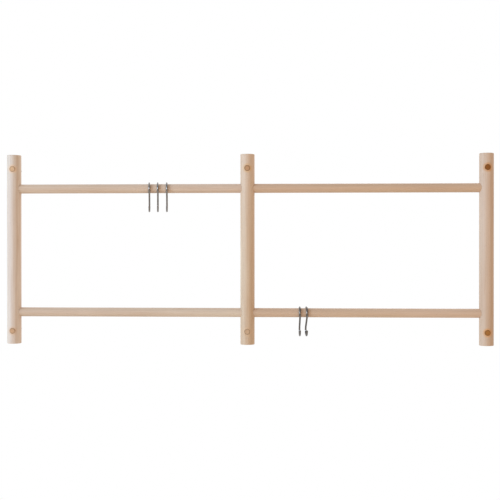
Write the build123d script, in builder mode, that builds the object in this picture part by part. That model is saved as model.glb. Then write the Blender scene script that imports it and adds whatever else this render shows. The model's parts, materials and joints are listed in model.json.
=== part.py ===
from build123d import *
import os
from math import asin, atan2, degrees, hypot

# A wall rack of round wooden rods: three posts stand against the wall, and four rails
# join them in two bays. Each post is held by two wall screws under wooden cover plugs,
# and five wire S-hooks hang from the rails.
#
# Millimetres, +Z up. The origin lies on the wall, at the centre of the six wall screws.
# +X runs to the right as one faces the rack, +Y into the wall and -Y towards the room.

# posts
post_radius = 12.5
post_spacing = 417
post_top = 168.5
post_bottom = -166.5
post_end_rounding = 1.0
rod_axis_y = -post_radius  # the posts' backs touch the wall, and the rails lie on their axes
post_front_y = -2 * post_radius
post_positions = {"left": -post_spacing, "middle": 0, "right": post_spacing}

# rails and the blind sockets that they are glued into
rail_radius = 8
rail_insertion = 10
upper_rail_z = 108.5
lower_rail_z = -110.5
rail_levels = {"upper": upper_rail_z, "lower": lower_rail_z}
glue_gap = 0.05
socket_end_gap = 0.5
rail_end_chamfer = 1.0

# wall screws, their counterbored holes, and the plugs that close the counterbores
screw_height = 143.5
screw_levels = {"upper": screw_height, "lower": -screw_height}
counterbore_radius = 5.05
counterbore_depth = 12
screw_hole_radius = 2.5
plug_radius = counterbore_radius - glue_gap
plug_length = 8.3
plug_proud = 0.3
plug_rounding = 0.4
screw_head_radius = 4.4
screw_head_height = 3.0
screw_head_rounding = 1.6
screw_shank_radius = 2.0
screw_core_radius = 1.5
thread_radius = 2.25
thread_pitch = 2.5
thread_crest_width = 0.5
thread_flank = 0.7
thread_turns = 11
screw_point_length = 4.5
driver_slot_length = 5.0
driver_slot_width = 1.2
driver_slot_depth = 1.9
driver_slot_taper = 12

# S-hooks, bent from round wire
wire_radius = 1.6
wire_end_rounding = 0.5
hook_seat_gap = 0.1
upper_bend_radius = 10.2
lower_bend_radius = 9.5
lower_bend_drop = 30.5
lower_bend_back = 1.02  # brings the hook's centre of mass under the rail's axis
tail_angle = 20  # the end behind the rail stops above level, so that the rail fits through the mouth
hooks = [
    # name, place along the rail, the rail's height, turn about the vertical in degrees
    ("hook_upper_1", -174.1, upper_rail_z, 8),
    ("hook_upper_2", -159.0, upper_rail_z, 8),
    ("hook_upper_3", -142.9, upper_rail_z, 7),
    ("hook_lower_1", 92.2, lower_rail_z, 3),
    ("hook_lower_2", 103.9, lower_rail_z, 7),
]

os.makedirs("parts", exist_ok=True)


def save(part, name):
    part.label = name
    export_step(part, f"parts/{name}.step")


def facing_room(x, y, z):
    """A plane parallel to the wall whose normal points into the room."""
    return Plane(origin=(x, y, z), x_dir=(1, 0, 0), z_dir=(0, -1, 0))


# Posts: a round rod with blind sockets for the rails and two counterbored screw holes.
sides_with_rails = {"left": [1], "middle": [-1, 1], "right": [-1]}
socket_depth = rail_insertion + socket_end_gap

for side_name, post_x in post_positions.items():
    with BuildPart() as post:
        with BuildSketch(Plane.XY.offset(post_bottom)):
            with Locations((post_x, rod_axis_y)):
                Circle(post_radius)
        extrude(amount=post_top - post_bottom)
        fillet(post.edges().filter_by(GeomType.CIRCLE), post_end_rounding)
        for rail_z in rail_levels.values():
            for side in sides_with_rails[side_name]:
                mouth = (post_x + side * post_radius, rod_axis_y, rail_z)
                with BuildSketch(Plane(origin=mouth, z_dir=(side, 0, 0))):
                    Circle(rail_radius + glue_gap)
                extrude(amount=-socket_depth, mode=Mode.SUBTRACT)
        for screw_z in screw_levels.values():
            with Locations(facing_room(post_x, post_front_y, screw_z)):
                CounterBoreHole(screw_hole_radius, counterbore_radius, counterbore_depth)
    save(post.part, f"post_{side_name}")


# Rails: round rods that reach into the posts at both ends.
bays = {"left": -post_spacing, "right": 0}  # the post at the left of each bay
rail_length = post_spacing - 2 * (post_radius - rail_insertion)

for level_name, rail_z in rail_levels.items():
    for bay_name, first_post_x in bays.items():
        rail_start = first_post_x + post_radius - rail_insertion
        with BuildPart() as rail:
            with BuildSketch(Plane.YZ.offset(rail_start)):
                with Locations((rod_axis_y, rail_z)):
                    Circle(rail_radius)
            extrude(amount=rail_length)
            chamfer(rail.edges().filter_by(GeomType.CIRCLE), rail_end_chamfer)
        save(rail.part, f"rail_{level_name}_{bay_name}")


# Wall screws: pan head, plain shank inside the post, and a thread from the wall inwards.
# The thread is a row of ridges, each with a flat crest.
screw_seat_y = post_front_y + counterbore_depth


def draw_screw_half(x):
    """Half of the screw's lengthwise section, from the head to the point."""
    ridges = []
    for turn in range(thread_turns):
        crest_start = turn * thread_pitch
        crest_end = crest_start + thread_crest_width
        ridges.append((x + thread_radius, crest_start))
        ridges.append((x + thread_radius, crest_end))
        ridges.append((x + screw_core_radius, crest_end + thread_flank))
        ridges.append((x + screw_core_radius, crest_start + thread_pitch - thread_flank))
    point_y = thread_turns * thread_pitch + screw_point_length
    outline = [
        (x, screw_seat_y - screw_head_height),
        (x + screw_head_radius, screw_seat_y - screw_head_height),
        (x + screw_head_radius, screw_seat_y),
        (x + screw_shank_radius, screw_seat_y),
        (x + screw_shank_radius, 0),
        *ridges,
        (x, point_y),
    ]
    Polyline(*outline, close=True)


for level_name, screw_z in screw_levels.items():
    for side_name, post_x in post_positions.items():
        screw_plane = Plane.XY.offset(screw_z)
        with BuildPart() as screw:
            with BuildSketch(screw_plane):
                with BuildLine():
                    draw_screw_half(post_x)
                make_face()
            revolve(axis=Axis((post_x, 0, screw_z), (0, 1, 0)))
            head_rim = screw.edges().filter_by(GeomType.CIRCLE).sort_by(Axis.Y)[0]
            fillet(head_rim, screw_head_rounding)
            head_top = facing_room(post_x, screw_seat_y - screw_head_height, screw_z)
            with BuildSketch(head_top):
                Rectangle(driver_slot_length, driver_slot_width)
                Rectangle(driver_slot_width, driver_slot_length)
            extrude(amount=-driver_slot_depth, taper=driver_slot_taper, mode=Mode.SUBTRACT)
        save(screw.part, f"wall_screw_{level_name}_{side_name}")


# Cover plugs: short dowels in the counterbores, standing a little proud of the post.
for level_name, plug_z in screw_levels.items():
    for side_name, post_x in post_positions.items():
        plug_front_y = post_front_y - plug_proud
        with BuildPart() as plug:
            with BuildSketch(facing_room(post_x, plug_front_y, plug_z)):
                Circle(plug_radius)
            extrude(amount=-plug_length)
            fillet(plug.edges().sort_by(Axis.Y)[0], plug_rounding)
        save(plug.part, f"cover_plug_{level_name}_{side_name}")


# S-hooks. One hook is bent in the YZ plane with the rail's axis at the origin: the upper
# bend goes over the rail, a straight shank slants back from its front, and the lower
# bend opens forward. The five hooks are that one, moved along their rails.
upper_bend_z = rail_radius + hook_seat_gap + wire_radius - upper_bend_radius
bend_distance = hypot(lower_bend_back, upper_bend_z + lower_bend_drop)
shank_slant = degrees(
    asin((upper_bend_radius + lower_bend_radius) / bend_distance)
    + atan2(lower_bend_back, upper_bend_z + lower_bend_drop)
)

with BuildPart() as bent_hook:
    with BuildLine(Plane.YZ) as wire:
        over_rail = CenterArc(
            (0, upper_bend_z), upper_bend_radius, tail_angle, 180 + shank_slant - tail_angle
        )
        round_foot = CenterArc(
            (lower_bend_back, -lower_bend_drop), lower_bend_radius, shank_slant, -180 - shank_slant
        )
        Line(over_rail @ 1, round_foot @ 0)
    with BuildSketch(Plane(origin=over_rail @ 0, z_dir=over_rail % 0)):
        Circle(wire_radius)
    sweep(path=wire.line)
    end_faces = bent_hook.faces().filter_by(GeomType.PLANE)
    fillet(end_faces.edges(), wire_end_rounding)

for hook_name, hook_x, rail_z, turn in hooks:
    with BuildPart() as hook:
        with Locations(Location((hook_x, rod_axis_y, rail_z), (0, 0, turn))):
            add(bent_hook.part)
    save(hook.part, hook_name)
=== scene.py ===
import json
import math

import bmesh
import bpy
from mathutils import Matrix, Vector, noise


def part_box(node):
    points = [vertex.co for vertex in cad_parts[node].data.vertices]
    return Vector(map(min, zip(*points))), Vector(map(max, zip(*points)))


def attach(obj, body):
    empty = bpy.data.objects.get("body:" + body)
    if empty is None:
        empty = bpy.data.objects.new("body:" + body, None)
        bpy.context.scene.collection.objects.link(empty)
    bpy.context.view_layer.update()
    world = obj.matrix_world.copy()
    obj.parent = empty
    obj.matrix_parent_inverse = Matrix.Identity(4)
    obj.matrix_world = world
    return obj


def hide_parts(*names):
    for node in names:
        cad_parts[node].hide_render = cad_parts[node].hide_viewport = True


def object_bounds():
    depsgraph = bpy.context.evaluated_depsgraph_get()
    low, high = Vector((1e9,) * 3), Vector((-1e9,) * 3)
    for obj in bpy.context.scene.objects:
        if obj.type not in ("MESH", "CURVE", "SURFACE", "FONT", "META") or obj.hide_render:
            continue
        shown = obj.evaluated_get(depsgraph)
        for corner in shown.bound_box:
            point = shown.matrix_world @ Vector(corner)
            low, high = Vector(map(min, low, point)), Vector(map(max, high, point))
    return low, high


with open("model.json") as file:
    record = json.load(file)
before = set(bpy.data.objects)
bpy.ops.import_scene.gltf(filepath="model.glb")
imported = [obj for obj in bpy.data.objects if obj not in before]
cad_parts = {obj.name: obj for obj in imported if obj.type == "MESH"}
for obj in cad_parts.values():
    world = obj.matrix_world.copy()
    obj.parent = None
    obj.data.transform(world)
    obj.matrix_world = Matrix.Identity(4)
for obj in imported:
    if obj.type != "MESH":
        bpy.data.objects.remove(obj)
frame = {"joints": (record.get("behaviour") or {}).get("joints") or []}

# A wall rack of round wooden rods with steel S-hooks. Metres; +X right, +Y into the wall,
# +Z up. Every CAD node is stood for by a finer mesh of the same shape and place.

MM = 0.001
cad_low, cad_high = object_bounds()

SIDES = ("left", "middle", "right")
LEVELS = ("upper", "lower")
BAYS = ("left", "right")


# ---------------------------------------------------------------- meshes

def frame_along(axis):
    """Two unit vectors at right angles to the axis, so that (first, second, axis) is a
    right-handed frame."""
    axis = Vector(axis).normalized()
    first = Vector((0, 0, 1)) if abs(axis.z) < 0.9 else Vector((1, 0, 0))
    first = (first - axis * first.dot(axis)).normalized()
    return first, axis.cross(first), axis


def new_object(name, mesh, material=None):
    obj = bpy.data.objects.new(name, mesh)
    bpy.context.collection.objects.link(obj)
    if material:
        mesh.materials.append(material)
    return obj


def shade(mesh, sharp_angle=35):
    """Smooth shading, with edges kept sharp where faces meet at more than the angle."""
    mesh.shade_smooth()
    mesh.set_sharp_from_angle(angle=math.radians(sharp_angle))


# How quickly the sanded surface's waviness changes along a turned piece and round it.
WAVES_PER_METRE = 9
WAVES_ROUND = 0.8


def lathe(name, origin, axis, outline, segments, wobble=0.0):
    """A closed turned solid. The outline is a list of (radius, distance along the axis), and
    starts and ends on the axis. Wobble is how far a sanded surface strays from a true circle."""
    origin = Vector(origin)
    first, second, axis = frame_along(axis)
    bm = bmesh.new()
    rings = []
    for radius, along in outline:
        centre = origin + axis * along
        if radius == 0:
            rings.append([bm.verts.new(centre)])
            continue
        ring = []
        for i in range(segments):
            angle = 2 * math.pi * i / segments
            out = first * math.cos(angle) + second * math.sin(angle)
            place = centre + out * radius
            wave = Vector([value * WAVES_PER_METRE for value in place])
            stray = wobble * noise.noise(wave + out * WAVES_ROUND)
            ring.append(bm.verts.new(place + out * stray))
        rings.append(ring)
    for low, high in zip(rings, rings[1:]):
        for i in range(segments):
            j = (i + 1) % segments
            if len(low) == 1:
                bm.faces.new((low[0], high[j], high[i]))
            elif len(high) == 1:
                bm.faces.new((low[i], low[j], high[0]))
            else:
                bm.faces.new((low[i], low[j], high[j], high[i]))
    bmesh.ops.recalc_face_normals(bm, faces=bm.faces)
    mesh = bpy.data.meshes.new(name)
    bm.to_mesh(mesh)
    bm.free()
    return new_object(name, mesh)


ROD_EDGE_STEPS = 6


def rod_outline(radius, length, edge_radius, ring_spacing):
    """The outline of a round rod with rounded end edges, as lathe() takes it."""
    corner = []
    for i in range(ROD_EDGE_STEPS + 1):
        angle = math.radians(90 * i / ROD_EDGE_STEPS)
        corner.append((radius - edge_radius * (1 - math.sin(angle)),
                       edge_radius * (1 - math.cos(angle))))
    count = max(1, round((length - 2 * edge_radius) / ring_spacing))
    side = []
    for i in range(1, count):
        side.append((radius, edge_radius + (length - 2 * edge_radius) * i / count))
    far_corner = [(r, length - t) for r, t in reversed(corner)]
    return [(0, 0), *corner, *side, *far_corner, (0, length)]


def cut(obj, cutters):
    """Takes the cutters out of the object and deletes them."""
    for cutter in cutters:
        modifier = obj.modifiers.new("cut", "BOOLEAN")
        modifier.object = cutter
        modifier.operation = "DIFFERENCE"
        modifier.solver = "EXACT"
    graph = bpy.context.evaluated_depsgraph_get()
    mesh = bpy.data.meshes.new_from_object(obj.evaluated_get(graph), depsgraph=graph)
    obj.modifiers.clear()
    obj.data = mesh
    for cutter in cutters:
        bpy.data.objects.remove(cutter, do_unlink=True)


# ---------------------------------------------------------------- materials

class Nodes:
    """A short way to write a material's node tree."""

    def __init__(self, name):
        self.material = bpy.data.materials.new(name)
        self.material.use_nodes = True
        self.tree = self.material.node_tree
        self.tree.nodes.clear()
        self.shader = self.tree.nodes.new("ShaderNodeBsdfPrincipled")
        output = self.tree.nodes.new("ShaderNodeOutputMaterial")
        self.tree.links.new(self.shader.outputs[0], output.inputs["Surface"])

    def put(self, socket, value):
        if isinstance(value, bpy.types.NodeSocket):
            self.tree.links.new(value, socket)
        elif value is not None:
            socket.default_value = value

    def set(self, name, value):
        self.put(self.shader.inputs[name], value)

    def math(self, operation, a, b=None, c=None):
        node = self.tree.nodes.new("ShaderNodeMath")
        node.operation = operation
        for socket, value in zip(node.inputs, (a, b, c)):
            self.put(socket, value)
        return node.outputs[0]

    def vector(self, operation, a, b):
        node = self.tree.nodes.new("ShaderNodeVectorMath")
        node.operation = operation
        for socket, value in zip(node.inputs, (a, b)):
            self.put(socket, value)
        return node.outputs["Vector"]

    def split(self, vector):
        node = self.tree.nodes.new("ShaderNodeSeparateXYZ")
        self.put(node.inputs[0], vector)
        return node.outputs[0], node.outputs[1], node.outputs[2]

    def join(self, x, y, z):
        node = self.tree.nodes.new("ShaderNodeCombineXYZ")
        for socket, value in zip(node.inputs, (x, y, z)):
            self.put(socket, value)
        return node.outputs[0]

    def object_place(self):
        return self.tree.nodes.new("ShaderNodeTexCoord").outputs["Object"]

    def normal(self):
        return self.tree.nodes.new("ShaderNodeNewGeometry").outputs["Normal"]

    def noise(self, vector, scale=1.0, detail=2.0, roughness=0.5):
        node = self.tree.nodes.new("ShaderNodeTexNoise")
        self.put(node.inputs["Vector"], vector)
        node.inputs["Scale"].default_value = scale
        node.inputs["Detail"].default_value = detail
        node.inputs["Roughness"].default_value = roughness
        return node.outputs["Fac"]

    def cells(self, vector):
        """The distance to the nearest cell's middle, and a random colour for each cell."""
        node = self.tree.nodes.new("ShaderNodeTexVoronoi")
        self.put(node.inputs["Vector"], vector)
        node.inputs["Scale"].default_value = 1.0
        return node.outputs["Distance"], node.outputs["Color"]

    def range(self, value, low, high, to_low=0.0, to_high=1.0):
        """The value from low to high, carried over to the other two ends and clamped."""
        node = self.tree.nodes.new("ShaderNodeMapRange")
        node.clamp = True
        for socket, number in zip(node.inputs, (value, low, high, to_low, to_high)):
            self.put(socket, number)
        return node.outputs[0]

    def blend(self, factor, a, b, kind="MIX"):
        node = self.tree.nodes.new("ShaderNodeMix")
        node.data_type = "RGBA"
        node.blend_type = kind
        colours = [s for s in node.inputs if s.type == "RGBA"]
        self.put(node.inputs[0], factor)
        self.put(colours[0], a)
        self.put(colours[1], b)
        return next(s for s in node.outputs if s.type == "RGBA")

    def distance(self, a, b):
        """The length of the flat vector (a, b)."""
        squares = self.math("ADD", self.math("MULTIPLY", a, a), self.math("MULTIPLY", b, b))
        return self.math("SQRT", squares)

    def bump(self, height, distance, strength):
        node = self.tree.nodes.new("ShaderNodeBump")
        node.inputs["Distance"].default_value = distance
        node.inputs["Strength"].default_value = strength
        self.put(node.inputs["Height"], height)
        return node.outputs[0]


def rgb(red, green, blue):
    """A linear colour with its alpha, from sRGB values of 0 to 255."""
    linear = []
    for value in (red, green, blue):
        v = value / 255
        linear.append(v / 12.92 if v <= 0.04045 else ((v + 0.055) / 1.055) ** 2.4)
    return (*linear, 1.0)


# Noise features per metre across and along the grain.
WANDER_GRAIN = (14, 4.5)
UNEVEN_GRAIN = (120, 2.0)
FIBRE_GRAIN = (2600, 45)
STREAK_GRAIN = (420, 6)
CLOUD_GRAIN = (34, 7)
PATCH_GRAIN = (11, 3.2)
FLECK_GRAIN = (1100, 210)
BLOTCH_GRAIN = (300, 200)
PORE_GRAIN = (3600, 900)
RIM_GRAIN = (260, 260)

FIBRE_WANDER = 5.0 * MM
PATCH_TINT = rgb(232, 196, 178)
FLECK_TINT = (0.10, 0.05, 0.025, 1)
END_LINE_TINT = (0.05, 0.02, 0.01, 1)
PORE_TINT = (0.06, 0.03, 0.015, 1)
RIM_TINT = (0.10, 0.04, 0.012, 1)
# The glue stains fade out between these distances from the plug's middle.
STAIN_START = 6.2 * MM
STAIN_END = 11.0 * MM
STAIN_BLOTCH = 3.0 * MM
WOOD_RELIEF = 0.09 * MM


def wood(name, grain, centre, pith, seed, light, dark, line, end_tint,
         ring_spacing=1.7 * MM, ring_contrast=0.34, rim=None, stains=()):
    """Fine pale hardwood. grain is the axis letter that the fibres follow; pith is where the
    growth rings are centred, in millimetres off the piece's axis; rim is a plug's radius, for
    the darker edge round its face, partly the glue and oil there and partly painted shade of the
    plug's edge where it stands proud; stains are the warm rings that the glue left on a
    post round its plugs, as (height, colour, strength)."""
    n = Nodes(name)
    local = n.vector("SUBTRACT", n.object_place(), tuple(centre))
    x, y, z = n.split(local)
    across_a, across_b, along = {"X": (y, z, x), "Y": (x, z, y), "Z": (x, y, z)}[grain]
    seeded = n.join(seed * 3.17, seed * 1.31, seed * 0.73)

    def stretched(grain_scale):
        """Coordinates scaled by the features per metre across and along the grain."""
        across, length = grain_scale
        scaled = n.join(n.math("MULTIPLY", across_a, across),
                        n.math("MULTIPLY", across_b, across),
                        n.math("MULTIPLY", along, length))
        return n.vector("ADD", scaled, seeded)

    # The fibres wander a little on their way along the rod.
    elsewhere = n.vector("ADD", stretched(WANDER_GRAIN), (7.1, 3.3, 1.9))
    wander_a = n.math("SUBTRACT", n.noise(stretched(WANDER_GRAIN), detail=1.5), 0.5)
    wander_b = n.math("SUBTRACT", n.noise(elsewhere, detail=1.5), 0.5)
    to_pith_a = n.math("SUBTRACT", across_a, pith[0] * MM)
    to_pith_b = n.math("SUBTRACT", across_b, pith[1] * MM)
    from_pith = n.distance(n.math("MULTIPLY_ADD", wander_a, FIBRE_WANDER, to_pith_a),
                           n.math("MULTIPLY_ADD", wander_b, FIBRE_WANDER, to_pith_b))
    uneven = n.math("MULTIPLY", n.noise(stretched(UNEVEN_GRAIN), detail=1.0), 0.9)
    phase = n.math("FRACT", n.math("ADD", n.math("DIVIDE", from_pith, ring_spacing), uneven))
    # Early wood fades slowly into a thin late-wood line and starts again sharply.
    late = n.math("MULTIPLY", n.math("POWER", phase, 3.5), n.range(phase, 0.97, 1.0, 1.0, 0.0))

    fibres = n.noise(stretched(FIBRE_GRAIN), detail=3.0, roughness=0.6)
    streaks = n.noise(stretched(STREAK_GRAIN), detail=2.5, roughness=0.55)
    cloud = n.noise(stretched(CLOUD_GRAIN))
    patch = n.noise(n.vector("ADD", stretched(PATCH_GRAIN), (2.7, 9.2, 4.4)), detail=1.0)

    end_face = n.math("ABSOLUTE", n.split(n.normal())["XYZ".index(grain)])
    end = n.range(end_face, 0.55, 0.9)

    colour = n.blend(n.range(cloud, 0.3, 0.7), light, dark)
    patch_colour = n.blend(0.5, light, PATCH_TINT)
    colour = n.blend(n.range(patch, 0.35, 0.75, 0.0, 0.45), colour, patch_colour)
    colour = n.blend(n.range(streaks, 0.38, 0.72, 0.0, 0.26), colour, line)
    colour = n.blend(n.math("MULTIPLY", late, ring_contrast), colour, line)
    fine = n.range(fibres, 0.3, 0.75, -0.5, 0.5)
    brightness = n.math("MULTIPLY_ADD", fine, 0.10, 1.0)
    colour = n.blend(1.0, colour, n.join(brightness, brightness, brightness), "MULTIPLY")

    # Short dark ray flecks, only on some of the cells.
    to_cell, pick = n.cells(stretched(FLECK_GRAIN))
    chosen = n.range(n.split(pick)[0], 0.62, 0.66)
    spot = n.math("MULTIPLY", n.range(to_cell, 0.10, 0.26, 1.0, 0.0), chosen)
    flecks = n.math("MULTIPLY", spot, n.math("SUBTRACT", 1.0, end))
    colour = n.blend(n.math("MULTIPLY", flecks, 0.5), colour, n.blend(0.35, line, FLECK_TINT))

    for height, stain_colour, strength in stains:
        to_plug = n.distance(x, n.math("SUBTRACT", z, height))
        blotch = n.noise(stretched(BLOTCH_GRAIN), detail=1.0)
        reach = n.math("MULTIPLY_ADD", blotch, STAIN_BLOTCH, to_plug)
        in_front = n.range(y, 0.0, -2.0 * MM)
        ring = n.math("MULTIPLY", n.range(reach, STAIN_START, STAIN_END, strength, 0.0), in_front)
        colour = n.blend(ring, colour, stain_colour)

    # End grain drinks the oil: darker, with open pores.
    pores = n.cells(stretched(PORE_GRAIN))[0]
    end_colour = n.blend(n.math("MULTIPLY", late, min(1.0, ring_contrast * 1.5)), end_tint,
                         n.blend(0.55, end_tint, END_LINE_TINT))
    end_colour = n.blend(n.range(pores, 0.08, 0.3, 0.4, 0.0), end_colour, PORE_TINT)
    end_colour = n.blend(n.range(cloud, 0.35, 0.65, 0.0, 0.25), end_colour, line)
    colour = n.blend(end, colour, end_colour)

    # A darker rim round a plug's face: partly glue and oil, partly painted shade of the plug's
    # proud edge.
    if rim:
        edge = n.range(n.distance(across_a, across_b), rim * 0.60, rim * 0.92)
        uneven_edge = n.range(n.noise(stretched(RIM_GRAIN), detail=1.0), 0.3, 0.62, 0.45, 0.95)
        edge = n.math("MULTIPLY", edge, uneven_edge)
        colour = n.blend(edge, colour, n.blend(0.6, end_tint, RIM_TINT))

    n.set("Base Color", colour)
    n.set("Roughness", n.math("ADD", n.range(fibres, 0.3, 0.7, 0.50, 0.60),
                              n.math("MULTIPLY", end, 0.12)))
    n.set("Specular IOR Level", 0.36)
    dips = n.math("ADD", n.math("MULTIPLY", flecks, 0.4), n.math("MULTIPLY", late, 0.35))
    height = n.math("SUBTRACT", n.math("MULTIPLY", fibres, 0.5), dips)
    open_pores = n.math("MULTIPLY", end, n.range(pores, 0.05, 0.3, 0.5, 0.0))
    height = n.math("SUBTRACT", height, open_pores)
    n.set("Normal", n.bump(height, WOOD_RELIEF, 0.55))
    return n.material


STEEL_LINE_TINT = (0.22, 0.21, 0.2, 1)
STEEL_RELIEF = 0.012 * MM


def steel(name, base, tint, roughness, lines_along, lines_across):
    """Drawn or plated steel, from the base colour to the tint in soft smudges. The pieces carry
    a 'wire_place' attribute: metres along, metres round and radius, which the fine drawing
    lines follow, with lines_along and lines_across as their features per metre."""
    n = Nodes(name)
    place = n.tree.nodes.new("ShaderNodeAttribute")
    place.attribute_name = "wire_place"
    along, around, _ = n.split(place.outputs["Vector"])
    drawn = n.join(n.math("MULTIPLY", along, lines_along),
                   n.math("MULTIPLY", around, lines_across), 0.0)
    lines = n.noise(drawn, detail=3.0, roughness=0.65)
    smudges = n.noise(n.object_place(), scale=160)
    colour = n.blend(n.range(smudges, 0.35, 0.7, 0.0, 0.5), base, tint)
    colour = n.blend(n.range(lines, 0.55, 0.8, 0.0, 0.35), colour, STEEL_LINE_TINT)
    n.set("Base Color", colour)
    n.set("Metallic", 1.0)
    n.set("Roughness", n.math("ADD", n.range(lines, 0.3, 0.7, roughness * 0.8, roughness * 1.25),
                              n.range(smudges, 0.5, 0.75, 0.0, 0.10)))
    n.set("Normal", n.bump(lines, STEEL_RELIEF, 0.5))
    return n.material


# ---------------------------------------------------------------- the rods

def box_of(node):
    low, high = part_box(node)
    return Vector(low), Vector(high)


def middle_of(node):
    low, high = box_of(node)
    return (low + high) / 2


post_low, post_high = box_of("post_middle")
POST_RADIUS = (post_high.x - post_low.x) / 2
POST_LENGTH = post_high.z - post_low.z
rail_low, rail_high = box_of("rail_upper_left")
RAIL_RADIUS = (rail_high.z - rail_low.z) / 2
RAIL_LENGTH = rail_high.x - rail_low.x
plug_low, plug_high = box_of("cover_plug_upper_middle")
PLUG_RADIUS = (plug_high.x - plug_low.x) / 2
PLUG_LENGTH = plug_high.y - plug_low.y
POST_EDGE = 1.0 * MM
RAIL_EDGE = 0.8 * MM
POST_WOBBLE = 0.05 * MM
RAIL_WOBBLE = 0.03 * MM
SEAM = 0.12 * MM  # round the rails and plugs, in the posts
SOCKET_END_GAP = 0.5 * MM
SCREW_HOLE_RADIUS = 2.5 * MM
COUNTERBORE_DEPTH = 12 * MM
POST_RING_SPACING = 5 * MM
RAIL_RING_SPACING = 6 * MM
POST_SEGMENTS = 96
RAIL_SEGMENTS = 80
PLUG_SEGMENTS = 72
SOCKET_SEGMENTS = 72
COUNTERBORE_SEGMENTS = 64
SCREW_HOLE_SEGMENTS = 40
FRONT_Y = post_low.y
SCREW_Z = {level: middle_of(f"cover_plug_{level}_middle").z for level in LEVELS}

# Each rod was cut from another board: its own ring centre and seed, and its own tints. The tints
# also hold painted shade: the further right a rod stands, the darker and warmer it is painted,
# for the light that falls off towards the right.
POST_LOOKS = {
    "left": dict(pith=(-21, 17), seed=1.0,
                 light=rgb(224, 206, 187), dark=rgb(212, 188, 166)),
    "middle": dict(pith=(16, 24), seed=2.0,
                   light=rgb(218, 189, 158), dark=rgb(206, 172, 139)),
    "right": dict(pith=(-13, -27), seed=3.0,
                  light=rgb(212, 182, 155), dark=rgb(200, 165, 136)),
}
# The rails on the right are painted darker and warmer too: painted shade, as with the posts.
RAIL_LOOKS = {
    "upper_left": dict(pith=(11, 13), seed=4.0,
                       light=rgb(217, 189, 162), dark=rgb(205, 173, 144)),
    "upper_right": dict(pith=(-15, 9), seed=5.0,
                        light=rgb(211, 174, 140), dark=rgb(199, 160, 128)),
    "lower_left": dict(pith=(9, -16), seed=6.0,
                       light=rgb(216, 191, 164), dark=rgb(202, 173, 145)),
    "lower_right": dict(pith=(-12, -12), seed=7.0,
                        light=rgb(211, 176, 145), dark=rgb(199, 164, 132)),
}
GLUE_STAINS = {
    "upper_left": (rgb(232, 186, 142), 0.75),
    "upper_middle": (rgb(218, 168, 112), 0.75),
    "upper_right": (rgb(206, 142, 82), 0.95),
    "lower_left": (rgb(222, 178, 138), 0.60),
    "lower_middle": (rgb(222, 178, 134), 0.50),
    "lower_right": (rgb(214, 152, 94), 0.95),
}
WOOD_LINE = rgb(188, 146, 112)
END_TINT = rgb(196, 158, 122)

# The cutters for the counterbores and screw holes start this far before the wood, and those
# for the screw holes and sockets run on past it.
BORE_LEAD = 3 * MM
HOLE_LEAD = 1 * MM
HOLE_REACH = 20 * MM
SOCKET_REACH = 14 * MM


def round_cutter(start, axis, radius, reach, segments):
    return lathe("cutter", start, axis, [(0, 0), (radius, 0), (radius, reach), (0, reach)],
                 segments)


for side in SIDES:
    name = f"post_{side}"
    low, high = box_of(name)
    axis_x, axis_y = (low.x + high.x) / 2, (low.y + high.y) / 2
    post = lathe(name + "_turned", (axis_x, axis_y, low.z), (0, 0, 1),
                 rod_outline(POST_RADIUS, POST_LENGTH, POST_EDGE, POST_RING_SPACING),
                 POST_SEGMENTS, POST_WOBBLE)
    cutters = []
    for level in LEVELS:
        z = SCREW_Z[level]
        cutters.append(round_cutter((axis_x, FRONT_Y - BORE_LEAD, z), (0, 1, 0),
                                    PLUG_RADIUS + SEAM, BORE_LEAD + COUNTERBORE_DEPTH,
                                    COUNTERBORE_SEGMENTS))
        cutters.append(round_cutter((axis_x, FRONT_Y + COUNTERBORE_DEPTH - HOLE_LEAD, z),
                                    (0, 1, 0), SCREW_HOLE_RADIUS, HOLE_REACH,
                                    SCREW_HOLE_SEGMENTS))
        for bay in BAYS:
            rail_low, rail_high = box_of(f"rail_{level}_{bay}")
            if rail_high.x < low.x or rail_low.x > high.x:
                continue
            from_left = rail_low.x < low.x
            rail_end = rail_high.x if from_left else rail_low.x
            direction = -1 if from_left else 1
            start = (rail_end - direction * SOCKET_END_GAP,
                     (rail_low.y + rail_high.y) / 2, (rail_low.z + rail_high.z) / 2)
            cutters.append(round_cutter(start, (direction, 0, 0), RAIL_RADIUS + SEAM,
                                        SOCKET_REACH, SOCKET_SEGMENTS))
    cut(post, cutters)
    shade(post.data)
    post.data.materials.clear()
    stains = [(SCREW_Z[level], *GLUE_STAINS[f"{level}_{side}"]) for level in LEVELS]
    post.data.materials.append(wood(name + "_wood", "Z", (axis_x, axis_y, 0), line=WOOD_LINE,
                                    end_tint=END_TINT, stains=stains, **POST_LOOKS[side]))
    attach(post, "rack")
    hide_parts(name)

for level in LEVELS:
    for bay in BAYS:
        name = f"rail_{level}_{bay}"
        low, high = box_of(name)
        centre = (low + high) / 2
        rail = lathe(name + "_turned", (low.x, centre.y, centre.z), (1, 0, 0),
                     rod_outline(RAIL_RADIUS, RAIL_LENGTH, RAIL_EDGE, RAIL_RING_SPACING),
                     RAIL_SEGMENTS, RAIL_WOBBLE)
        shade(rail.data)
        rail.data.materials.append(wood(name + "_wood", "X", (0, centre.y, centre.z),
                                        line=WOOD_LINE, end_tint=END_TINT,
                                        **RAIL_LOOKS[f"{level}_{bay}"]))
        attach(rail, "rack")
        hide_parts(name)


# ---------------------------------------------------------------- the cover plugs

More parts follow.
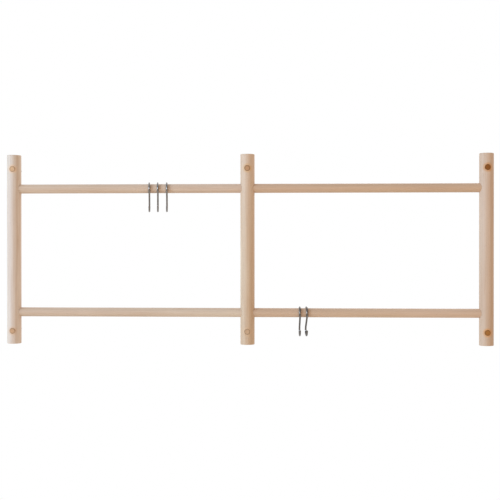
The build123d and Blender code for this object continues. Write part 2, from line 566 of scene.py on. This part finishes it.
PLUG_LOOKS = {
    "upper_left": dict(pith=(-1.5, 2.5), seed=11.0,
                       light=rgb(238, 196, 156), dark=rgb(222, 172, 130),
                       line=rgb(168, 116, 72), end_tint=rgb(232, 186, 142)),
    "upper_middle": dict(pith=(3.0, 1.0), seed=12.0,
                         light=rgb(214, 166, 124), dark=rgb(194, 144, 102),
                         line=rgb(140, 92, 54), end_tint=rgb(204, 152, 108)),
    "upper_right": dict(pith=(0.4, -0.6), seed=13.0,
                        light=rgb(150, 86, 18), dark=rgb(122, 64, 8),
                        line=rgb(72, 34, 4), end_tint=rgb(152, 84, 10)),
    "lower_left": dict(pith=(2.5, -1.5), seed=14.0,
                       light=rgb(228, 184, 144), dark=rgb(208, 160, 120),
                       line=rgb(156, 108, 68), end_tint=rgb(216, 168, 126)),
    "lower_middle": dict(pith=(-2.0, -1.0), seed=15.0,
                         light=rgb(226, 188, 152), dark=rgb(206, 162, 124),
                         line=rgb(148, 104, 68), end_tint=rgb(218, 176, 136)),
    "lower_right": dict(pith=(-0.8, 0.5), seed=16.0,
                        light=rgb(172, 112, 50), dark=rgb(142, 86, 32),
                        line=rgb(88, 48, 14), end_tint=rgb(174, 110, 44)),
}


PLUG_EDGE = 0.45 * MM
PLUG_CROWN = 0.08 * MM
PLUG_FACE_STEPS = 8
PLUG_EDGE_STEPS = 5


def plug_outline(radius, length):
    """From the front: a slightly crowned face, a rounded rim and a plain back."""
    outline = [(0, 0)]
    for i in range(1, PLUG_FACE_STEPS + 1):
        r = (radius - PLUG_EDGE) * i / PLUG_FACE_STEPS
        outline.append((r, PLUG_CROWN * (r / radius) ** 2))
    for i in range(1, PLUG_EDGE_STEPS + 1):
        angle = math.radians(90 * i / PLUG_EDGE_STEPS)
        outline.append((radius - PLUG_EDGE * (1 - math.sin(angle)),
                        PLUG_CROWN + PLUG_EDGE * (1 - math.cos(angle))))
    outline += [(radius, length * 0.5), (radius, length), (0, length)]
    return outline


for level in LEVELS:
    for side in SIDES:
        name = f"cover_plug_{level}_{side}"
        low, high = box_of(name)
        centre = (low + high) / 2
        plug = lathe(name + "_turned", (centre.x, low.y, centre.z), (0, 1, 0),
                     plug_outline(PLUG_RADIUS, PLUG_LENGTH), PLUG_SEGMENTS)
        shade(plug.data, 50)
        plug.data.materials.append(wood(name + "_wood", "Y", tuple(centre),
                                        ring_spacing=1.3 * MM, ring_contrast=0.75,
                                        rim=PLUG_RADIUS, **PLUG_LOOKS[f"{level}_{side}"]))
        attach(plug, "rack")
        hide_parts(name)


# ---------------------------------------------------------------- the wall screws

THREAD_RADIUS = 2.25 * MM
CORE_RADIUS = 1.5 * MM
SHANK_RADIUS = 2.0 * MM
THREAD_PITCH = 2.5 * MM
HEAD_RADIUS = 4.4 * MM
HEAD_HEIGHT = 3.0 * MM
HEAD_ROUNDING = 1.6 * MM
HEAD_STEPS = 8
HEAD_EDGE = 0.1 * MM
NECK_ROUNDING = 0.25 * MM  # where the shank meets the head
RECESS_DEPTH = 1.9 * MM
RECESS_ARM = 2.5 * MM
RECESS_HALF_WIDTH = 0.6 * MM
RECESS_TAPER = 0.4 * MM
SHANK_END = -1.6 * MM
POINT_LENGTH = 6.5 * MM
POINT_CORE = 0.10 * MM
POINT_CREST = 0.15 * MM
TIP_GAP = 0.05 * MM
THREAD_START = -1.0 * MM
THREAD_RUN_IN = 1.5 * MM
THREAD_HALF_WIDTH = 0.24  # of a pitch
SCREW_SEGMENTS = 72
SCREW_ROW_SPACING = 0.14 * MM
SEAT_Y = FRONT_Y + COUNTERBORE_DEPTH


def from_0_to_1(value):
    return min(1.0, max(0.0, value))


def place_attribute(mesh, values):
    """Stores the places that steel() reads."""
    attribute = mesh.attributes.new("wire_place", "FLOAT_VECTOR", "POINT")
    attribute.data.foreach_set("vector", [v for value in values for v in value])


def recess_edge(angle, shrink):
    """How far the edge of the cross recess lies from its middle, at this angle."""
    c, t = abs(math.cos(angle)), abs(math.sin(angle))
    arm, width = RECESS_ARM - shrink, RECESS_HALF_WIDTH - shrink
    along_x = min(arm / max(c, 1e-9), width / max(t, 1e-9))
    along_z = min(width / max(c, 1e-9), arm / max(t, 1e-9))
    return max(along_x, along_z)


def thread_radius(y, tip_y):
    """The screw's radius by angle at this y: the plain shank swells into the thread, which
    runs out at the point."""
    swell = from_0_to_1((y - THREAD_START) / THREAD_RUN_IN)
    left = tip_y - y
    core_taper = from_0_to_1(left / POINT_LENGTH) ** 0.8
    crest_taper = from_0_to_1(left / (POINT_LENGTH * 0.8)) ** 0.75
    core = POINT_CORE + (CORE_RADIUS - POINT_CORE) * core_taper
    crest = POINT_CREST + (THREAD_RADIUS - POINT_CREST) * crest_taper

    def radius(angle):
        turn = (y / THREAD_PITCH - angle / (2 * math.pi)) % 1.0
        rise = max(0.0, 1 - abs(turn - 0.5) / THREAD_HALF_WIDTH)
        rise = min(1.0, rise * 1.25)
        threaded = core + (max(crest, core) - core) * rise
        shank = SHANK_RADIUS
        if swell >= 0.001:
            shank += (THREAD_RADIUS - SHANK_RADIUS) * rise * swell
        return shank * (1 - swell) + threaded * swell

    return radius


def wall_screw(name, x, z, tip_y):
    """A pan-head wood screw with a real helical thread. Its driver recess is a tapered cross
    sunk in the middle of the head."""
    bm = bmesh.new()
    rows, places = [], []

    def ring(y, radius_at):
        row = []
        for i in range(SCREW_SEGMENTS):
            angle = 2 * math.pi * i / SCREW_SEGMENTS
            r = radius_at(angle)
            row.append(bm.verts.new((x + r * math.cos(angle), y, z + r * math.sin(angle))))
            places.append((y, r * angle, r))
        rows.append(row)

    head_top = SEAT_Y - HEAD_HEIGHT
    centre_back = bm.verts.new((x, head_top + RECESS_DEPTH, z))
    places.append((head_top, 0, 0))
    ring(head_top + RECESS_DEPTH, lambda a: recess_edge(a, RECESS_TAPER))
    ring(head_top, lambda a: recess_edge(a, 0))
    # The rounding starts a thousandth of a millimetre below the head's top.
    for i in range(HEAD_STEPS + 1):
        bend = math.radians(90 * i / HEAD_STEPS)
        radius = HEAD_RADIUS - HEAD_ROUNDING * (1 - math.sin(bend))
        depth = HEAD_ROUNDING * (1 - math.cos(bend)) * 0.999 + 0.001 * MM
        ring(head_top + depth, lambda a, r=radius: r)
    ring(SEAT_Y - HEAD_EDGE, lambda a: HEAD_RADIUS)
    ring(SEAT_Y, lambda a: HEAD_RADIUS - HEAD_EDGE)
    ring(SEAT_Y, lambda a: SHANK_RADIUS + NECK_ROUNDING)
    ring(SEAT_Y + NECK_ROUNDING, lambda a: SHANK_RADIUS)
    ring(SHANK_END, lambda a: SHANK_RADIUS)
    thread_length = tip_y - TIP_GAP - THREAD_START
    count = int(thread_length / SCREW_ROW_SPACING)
    for i in range(count + 1):
        y = THREAD_START + thread_length * i / count
        ring(y, thread_radius(y, tip_y))
    tip = bm.verts.new((x, tip_y, z))
    places.append((tip_y, 0, 0))
    for i in range(SCREW_SEGMENTS):
        j = (i + 1) % SCREW_SEGMENTS
        bm.faces.new((centre_back, rows[0][j], rows[0][i]))
        bm.faces.new((rows[-1][i], rows[-1][j], tip))
        for low, high in zip(rows, rows[1:]):
            bm.faces.new((low[i], low[j], high[j], high[i]))
    bmesh.ops.recalc_face_normals(bm, faces=bm.faces)
    mesh = bpy.data.meshes.new(name)
    bm.to_mesh(mesh)
    bm.free()
    place_attribute(mesh, places)
    shade(mesh, 40)
    return new_object(name, mesh)


screw_steel = steel("screw_zinc", (0.62, 0.61, 0.57, 1), (0.66, 0.62, 0.52, 1),
                    roughness=0.28, lines_along=900, lines_across=900)
for level in LEVELS:
    for side in SIDES:
        name = f"wall_screw_{level}_{side}"
        low, high = box_of(name)
        screw = wall_screw(name + "_cut", (low.x + high.x) / 2, (low.z + high.z) / 2, high.y)
        screw.data.materials.append(screw_steel)
        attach(screw, "rack")
        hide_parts(name)


# ---------------------------------------------------------------- the S-hooks

WIRE_RADIUS = 1.6 * MM
UPPER_BEND = 10.2 * MM
LOWER_BEND = 9.5 * MM
UPPER_BEND_Z = -0.5 * MM
LOWER_BEND_BACK = 1.02 * MM
LOWER_BEND_DROP = 30.5 * MM
TAIL_ANGLE = 20
TIP_ROUNDING = 0.5 * MM
BEND_STEPS = 72
SHANK_STEPS = 12
TIP_STEPS = 6
WIRE_SEGMENTS = 40
HOOK_TURNS = {  # degrees about the vertical
    "hook_upper_1": 8,
    "hook_upper_2": 8,
    "hook_upper_3": 7,
    "hook_lower_1": 3,
    "hook_lower_2": 7,
}


def hook_line():
    """The wire's centre line in the hook's own plane, as points (towards the wall, up) and
    directions, from the end behind the rail to the tip of the foot."""
    rise = UPPER_BEND_Z + LOWER_BEND_DROP
    slant = math.asin((UPPER_BEND + LOWER_BEND) / math.hypot(LOWER_BEND_BACK, rise))
    slant += math.atan2(LOWER_BEND_BACK, rise)
    over_rail = []
    start, stop = math.radians(TAIL_ANGLE), math.pi + slant
    for i in range(BEND_STEPS + 1):
        angle = start + (stop - start) * i / BEND_STEPS
        c, t = math.cos(angle), math.sin(angle)
        over_rail.append((Vector((UPPER_BEND * c, UPPER_BEND_Z + UPPER_BEND * t)),
                          Vector((-t, c))))
    foot = []
    for i in range(BEND_STEPS + 1):
        angle = slant - (slant + math.pi) * i / BEND_STEPS
        c, t = math.cos(angle), math.sin(angle)
        foot.append((Vector((LOWER_BEND_BACK + LOWER_BEND * c, LOWER_BEND * t - LOWER_BEND_DROP)),
                     Vector((t, -c))))
    shank_start, way = over_rail[-1]
    shank = []
    for i in range(1, SHANK_STEPS):
        shank.append((shank_start.lerp(foot[0][0], i / SHANK_STEPS), way))
    return over_rail + shank + foot


def hook_mesh(name, origin, turn):
    """A round wire along the hook's line, with rounded cut ends."""
    spin = Matrix.Rotation(math.radians(turn), 3, "Z")
    side = spin @ Vector((1, 0, 0))

    def turned(flat):
        return spin @ Vector((0, flat.x, flat.y))

    line = hook_line()
    stations = []
    along = 0.0
    for i, (point, way) in enumerate(line):
        if i:
            along += (point - line[i - 1][0]).length
        stations.append((origin + turned(point), turned(way), WIRE_RADIUS, along))

    def end_cap(centre, out):
        """Rings that round the wire's edge at a cut end, from the rim inwards."""
        rings = []
        for i in range(1, TIP_STEPS + 1):
            angle = math.radians(90 * i / TIP_STEPS)
            rings.append((centre - out * TIP_ROUNDING * (1 - math.sin(angle)),
                          WIRE_RADIUS - TIP_ROUNDING * (1 - math.cos(angle))))
        return rings

    first_out, last_out = -stations[0][1], stations[-1][1]
    head = [(c, stations[0][1], r, 0.0) for c, r in reversed(end_cap(stations[0][0], first_out))]
    tail = [(c, stations[-1][1], r, along) for c, r in end_cap(stations[-1][0], last_out)]
    # The wire's full radius stops where the rounding of its ends starts.
    stations[0] = (stations[0][0] - first_out * TIP_ROUNDING, *stations[0][1:])
    stations[-1] = (stations[-1][0] - last_out * TIP_ROUNDING, *stations[-1][1:])
    stations = head + stations + tail

    bm = bmesh.new()
    rows, places = [], []
    for centre, way, radius, at in stations:
        outward = side.cross(way).normalized()
        row = []
        for i in range(WIRE_SEGMENTS):
            angle = 2 * math.pi * i / WIRE_SEGMENTS
            out = side * math.cos(angle) + outward * math.sin(angle)
            row.append(bm.verts.new(centre + out * radius))
            places.append((at, WIRE_RADIUS * angle, radius))
        rows.append(row)
    for low, high in zip(rows, rows[1:]):
        for i in range(WIRE_SEGMENTS):
            j = (i + 1) % WIRE_SEGMENTS
            bm.faces.new((low[i], low[j], high[j], high[i]))
    for row, (centre, _, _, at) in ((rows[0], stations[0]), (rows[-1], stations[-1])):
        middle = bm.verts.new(centre)
        places.append((at, 0, 0))
        for i in range(WIRE_SEGMENTS):
            bm.faces.new((middle, row[i], row[(i + 1) % WIRE_SEGMENTS]))
    bmesh.ops.recalc_face_normals(bm, faces=bm.faces)
    mesh = bpy.data.meshes.new(name)
    bm.to_mesh(mesh)
    bm.free()
    place_attribute(mesh, places)
    shade(mesh, 40)
    return new_object(name, mesh)


# The two hooks on the lower rail are a little darker than the three on the upper one: painted
# shade in their steel's colour, standing in for the darker surroundings that they reflect.
hook_finish = dict(roughness=0.2, lines_along=60, lines_across=2600)
hook_steels = {
    "upper": steel("hook_steel", (0.275, 0.24, 0.212, 1), (0.215, 0.187, 0.163, 1),
                   **hook_finish),
    "lower": steel("hook_steel_painted_shade", (0.19, 0.168, 0.15, 1), (0.148, 0.129, 0.113, 1),
                   **hook_finish),
}
for joint in frame["joints"]:
    hook_name = joint["child"]
    hook = hook_mesh(hook_name + "_wire", Vector(joint["pos_m"]), HOOK_TURNS[hook_name])
    hook.data.materials.append(hook_steels[hook_name.split("_")[1]])
    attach(hook, hook_name)
    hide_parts(hook_name)


# ---------------------------------------------------------------- floor, light and camera

FLOOR_DROP = 1.05  # below the rack, which hangs
FLOOR_RADIUS = 2.8
FLOOR_SEGMENTS = 128
FLOOR_COLOURS = ((0.82, 0.775, 0.70, 1), (0.85, 0.805, 0.73, 1))


def pale_floor():
    bm = bmesh.new()
    bmesh.ops.create_circle(bm, cap_ends=True, radius=FLOOR_RADIUS,
                            segments=FLOOR_SEGMENTS)
    mesh = bpy.data.meshes.new("floor")
    bm.to_mesh(mesh)
    bm.free()
    n = Nodes("floor_paint")
    mottle = n.noise(n.object_place(), scale=3.0, detail=3.0)
    n.set("Base Color", n.blend(n.range(mottle, 0.3, 0.7), *FLOOR_COLOURS))
    n.set("Roughness", 0.8)
    floor = new_object("floor", mesh, n.material)
    floor.location = (0, 0, cad_low[2] - FLOOR_DROP)
    return floor


pale_floor()


def look_at(obj, place, aim):
    """Puts a light or the camera at a place and turns it towards the aim."""
    obj.location = place
    obj.rotation_euler = (Vector(aim) - Vector(place)).to_track_quat("-Z", "Y").to_euler()
    bpy.context.collection.objects.link(obj)


def soft_light(name, place, width, height, power, colour):
    """A rectangular lamp that faces the origin. Its power is in watts."""
    data = bpy.data.lights.new(name, "AREA")
    data.shape = "RECTANGLE"
    data.size, data.size_y = width, height
    data.energy = power
    data.color = colour
    look_at(bpy.data.objects.new(name, data), place, (0, 0, 0))


soft_light("key", (-4.5, -2.5, 0.7), 2.2, 2.0, 213, (0.55, 0.755, 1.0))
soft_light("fill", (2.4, -4.4, 0.2), 3.0, 3.0, 47, (1.0, 0.63, 0.32))
soft_light("rear", (0.8, 1.9, 1.2), 1.6, 1.2, 16, (1.0, 0.98, 0.95))

ROOM_BELOW = (0.32, 0.30, 0.28, 1)
ROOM_ABOVE = (0.61, 0.745, 0.91, 1)
ROOM_RIGHT = (0.54, 0.485, 0.385, 1)
BACKDROP = (0.95, 0.96, 1.0, 1)


def studio_world():
    """White where the camera looks straight at it. As light it is a dim room in front, cool
    from above, warm from below and from the right, with the white backdrop behind the rack."""
    world = bpy.data.worlds.new("studio")
    world.use_nodes = True
    tree = world.node_tree
    tree.nodes.clear()

    def ramp(value, low, high, from_colour, to_colour):
        """One colour up to the low value and the other from the high value on."""
        spread = tree.nodes.new("ShaderNodeMapRange")
        spread.interpolation_type = "SMOOTHSTEP"
        spread.inputs["From Min"].default_value = low
        spread.inputs["From Max"].default_value = high
        tree.links.new(value, spread.inputs["Value"])
        mix = tree.nodes.new("ShaderNodeMix")
        mix.data_type = "RGBA"
        tree.links.new(spread.outputs[0], mix.inputs[0])
        sockets = [s for s in mix.inputs if s.type == "RGBA"]
        for socket, colour in zip(sockets, (from_colour, to_colour)):
            if isinstance(colour, bpy.types.NodeSocket):
                tree.links.new(colour, socket)
            else:
                socket.default_value = colour
        return [s for s in mix.outputs if s.type == "RGBA"][0]

    place = tree.nodes.new("ShaderNodeTexCoord")
    parts = tree.nodes.new("ShaderNodeSeparateXYZ")
    tree.links.new(place.outputs["Generated"], parts.inputs[0])
    room = ramp(parts.outputs["Z"], -0.7, 0.7, ROOM_BELOW, ROOM_ABOVE)
    room = ramp(parts.outputs["X"], 0.0, 0.8, room, ROOM_RIGHT)
    seen = ramp(parts.outputs["Y"], 0.0, 0.5, room, BACKDROP)
    studio = tree.nodes.new("ShaderNodeBackground")
    white = tree.nodes.new("ShaderNodeBackground")
    path = tree.nodes.new("ShaderNodeLightPath")
    mix = tree.nodes.new("ShaderNodeMixShader")
    output = tree.nodes.new("ShaderNodeOutputWorld")
    tree.links.new(seen, studio.inputs["Color"])
    white.inputs["Color"].default_value = (1, 1, 1, 1)
    tree.links.new(path.outputs["Is Camera Ray"], mix.inputs[0])
    tree.links.new(studio.outputs[0], mix.inputs[1])
    tree.links.new(white.outputs[0], mix.inputs[2])
    tree.links.new(mix.outputs[0], output.inputs["Surface"])
    bpy.context.scene.world = world


studio_world()

CAMERA_PLACE = (0.088, -1.712, 0.007)
CAMERA_AIM = (0.0038, 0.0, -0.0002)
SENSOR_WIDTH = 36.0
FOCAL_LENGTH = 69.45

camera_data = bpy.data.cameras.new("camera")
camera_data.sensor_width = SENSOR_WIDTH
camera_data.lens = FOCAL_LENGTH
camera = bpy.data.objects.new("camera", camera_data)
look_at(camera, CAMERA_PLACE, CAMERA_AIM)
bpy.context.scene.camera = camera
bpy.context.scene.view_settings.view_transform = "Standard"
